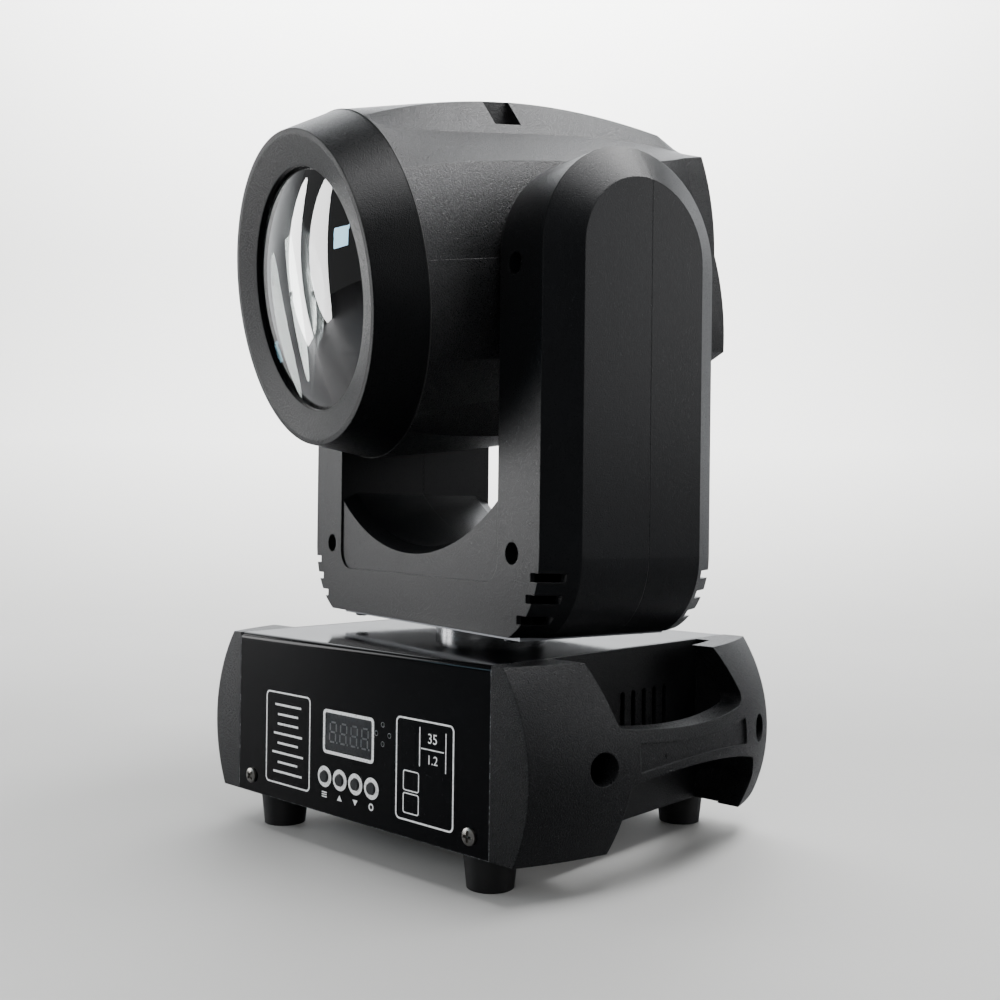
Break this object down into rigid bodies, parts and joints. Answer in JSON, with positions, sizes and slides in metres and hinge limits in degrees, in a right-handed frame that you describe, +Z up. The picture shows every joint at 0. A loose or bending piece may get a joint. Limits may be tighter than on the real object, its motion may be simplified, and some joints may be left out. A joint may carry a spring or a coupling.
{
  "type": "moving head light",
  "caption": "Moving head stage light: a motorised yoke pans on a boxed base with handle caps and carries a tilting head with a large front lens.",
  "frame": {"origin": "centre of the bracket hole pattern on the base's underside", "axes": "+Z up, -Y out of the control panel, +X to the right when facing the panel"},
  "size_m": [0.2966, 0.291, 0.4252],
  "materials": {
    "cover_steel": "gloss black paint",
    "tray_steel": "satin black paint",
    "cap_plastic": "fine sparkle texture",
    "foot_rubber": "matte",
    "window_acrylic": "polished smoked",
    "display_face": "matte grey segments",
    "circuit_board": "solder mask",
    "spacer_brass": "turned",
    "button_plastic": "satin",
    "supply_case": "folded sheet",
    "inlet_plastic": "satin",
    "socket_nickel": "black plated",
    "bearing_steel": "ground",
    "bracket_steel": "zinc plated",
    "motor_black": "satin black",
    "drive_aluminium": "machined",
    "belt_rubber": "moulded",
    "screw_steel": "blackened",
    "yoke_plastic": "fine sparkle texture",
    "head_plastic": "fine sparkle texture",
    "bezel_plastic": "satin",
    "lens_glass": "polished",
    "ring_aluminium": "black anodised",
    "chassis_aluminium": "folded sheet",
    "sink_aluminium": "extruded",
    "fan_plastic": "moulded",
    "wheel_aluminium": "etched",
    "carriage_aluminium": "black anodised",
    "rail_steel": "ground"
  },
  "bodies": {
    "base": {"base_cover": "cover_steel", "base_tray": "tray_steel", "right_end_cap": "cap_plastic", "left_end_cap": "cap_plastic", "rubber_feet": "foot_rubber", "display_window": "window_acrylic", "display_module": "display_face", "control_board": "circuit_board", "board_spacers": "spacer_brass", "power_supply": "supply_case", "driver_board": "circuit_board", "power_inlet": "inlet_plastic", "dmx_input_socket": "socket_nickel", "dmx_output_socket": "socket_nickel", "pan_bearing": "bearing_steel", "pan_motor_bracket": "bracket_steel", "pan_motor": "motor_black", "pan_belt": "belt_rubber", "case_screws": "screw_steel"},
    "yoke": {"yoke_front_cover": "yoke_plastic", "yoke_rear_cover": "yoke_plastic", "yoke_frame": "bracket_steel", "pan_shaft": "drive_aluminium", "pan_wheel": "drive_aluminium", "tilt_bearings": "bearing_steel", "tilt_motor": "motor_black", "tilt_belt": "belt_rubber", "yoke_screws": "screw_steel"},
    "head": {"head_upper_cover": "head_plastic", "head_lower_cover": "head_plastic", "rear_grille": "head_plastic", "front_bezel": "bezel_plastic", "objective_lens": "lens_glass", "lens_retaining_ring": "ring_aluminium", "head_frame": "chassis_aluminium", "tilt_hubs": "drive_aluminium", "tilt_wheel": "drive_aluminium", "led_engine": "chassis_aluminium", "condenser_lens": "lens_glass", "heat_sink": "sink_aluminium", "head_fan_frame": "fan_plastic", "wheel_motors": "motor_black", "prism_motor": "motor_black", "focus_rails": "rail_steel", "focus_motor": "motor_black", "head_screws": "screw_steel"},
    "menu_button": {"menu_button": "button_plastic"},
    "up_button": {"up_button": "button_plastic"},
    "down_button": {"down_button": "button_plastic"},
    "enter_button": {"enter_button": "button_plastic"},
    "pan_pulley": {"pan_pulley": "drive_aluminium"},
    "tilt_pulley": {"tilt_pulley": "drive_aluminium"},
    "fan_rotor": {"head_fan_rotor": "fan_plastic"},
    "gobo_wheel": {"gobo_wheel": "wheel_aluminium"},
    "colour_wheel": {"colour_wheel": "wheel_aluminium"},
    "prism_arm": {"prism_arm": "carriage_aluminium"},
    "prism": {"prism": "lens_glass"},
    "focus_carriage": {"focus_carriage": "carriage_aluminium", "focus_lens": "lens_glass"},
    "focus_screw": {"focus_screw": "rail_steel"}
  },
  "joints": [
    {"name": "pan", "type": "hinge", "parent": "base", "child": "yoke", "pos_m": [0, 0.004, 0.096], "axis": [0, 0, 1], "range_deg": [-256.4, 283.6]},
    {"name": "tilt", "type": "hinge", "parent": "yoke", "child": "head", "pos_m": [0, 0.004, 0.3031], "axis": [0.972, -0.2351, 0], "range_deg": [-235, 35]},
    {"name": "pan_pulley_turn", "type": "hinge", "parent": "base", "child": "pan_pulley", "pos_m": [-0.056, -0.036, 0.067], "axis": [0, 0, 1], "range_deg": [-1400, 1550]},
    {"name": "tilt_pulley_turn", "type": "hinge", "parent": "yoke", "child": "tilt_pulley", "pos_m": [0.1108, -0.02281, 0.124], "axis": [0.972, -0.2351, 0], "range_deg": [-1215, 190]},
    {"name": "menu_press", "type": "slide", "parent": "base", "child": "menu_button", "axis": [0, 1, 0], "range_m": [0, 0.0008], "stiffness_N_per_m": 500},
    {"name": "up_press", "type": "slide", "parent": "base", "child": "up_button", "axis": [0, 1, 0], "range_m": [0, 0.0008], "stiffness_N_per_m": 500},
    {"name": "down_press", "type": "slide", "parent": "base", "child": "down_button", "axis": [0, 1, 0], "range_m": [0, 0.0008], "stiffness_N_per_m": 500},
    {"name": "enter_press", "type": "slide", "parent": "base", "child": "enter_button", "axis": [0, 1, 0], "range_m": [0, 0.0008], "stiffness_N_per_m": 500},
    {"name": "fan_spin", "type": "hinge", "parent": "head", "child": "fan_rotor", "pos_m": [0.02216, 0.09561, 0.31566], "axis": [-0.2316, -0.9572, -0.1736], "continuous": true},
    {"name": "gobo_wheel_turn", "type": "hinge", "parent": "head", "child": "gobo_wheel", "pos_m": [0.03222, 0.0266, 0.30831], "axis": [-0.2316, -0.9572, -0.1736], "continuous": true},
    {"name": "colour_wheel_turn", "type": "hinge", "parent": "head", "child": "colour_wheel", "pos_m": [-0.01693, 0.04457, 0.30935], "axis": [-0.2316, -0.9572, -0.1736], "continuous": true},
    {"name": "prism_swing", "type": "hinge", "parent": "head", "child": "prism_arm", "pos_m": [0.03825, -0.008, 0.27217], "axis": [-0.2316, -0.9572, -0.1736], "range_deg": [0, 45]},
    {"name": "prism_spin", "type": "hinge", "parent": "prism_arm", "child": "prism", "pos_m": [0.02936, -0.01469, 0.32091], "axis": [-0.2316, -0.9572, -0.1736], "continuous": true},
    {"name": "focus_slide", "type": "slide", "parent": "head", "child": "focus_carriage", "axis": [-0.2316, -0.9572, -0.1736], "range_m": [-0.02, 0.02]},
    {"name": "focus_screw_turn", "type": "hinge", "parent": "head", "child": "focus_screw", "pos_m": [-0.01019, -0.03812, 0.26093], "axis": [-0.2316, -0.9572, -0.1736], "range_deg": [-905, 905]}
  ],
  "couplings": [
    {"joint": "pan_pulley_turn", "follows": "pan", "ratio": 5.4286},
    {"joint": "tilt_pulley_turn", "follows": "tilt", "ratio": 5.1429},
    {"joint": "focus_screw_turn", "follows": "focus_slide", "rad_per_m": 785.4}
  ]
}
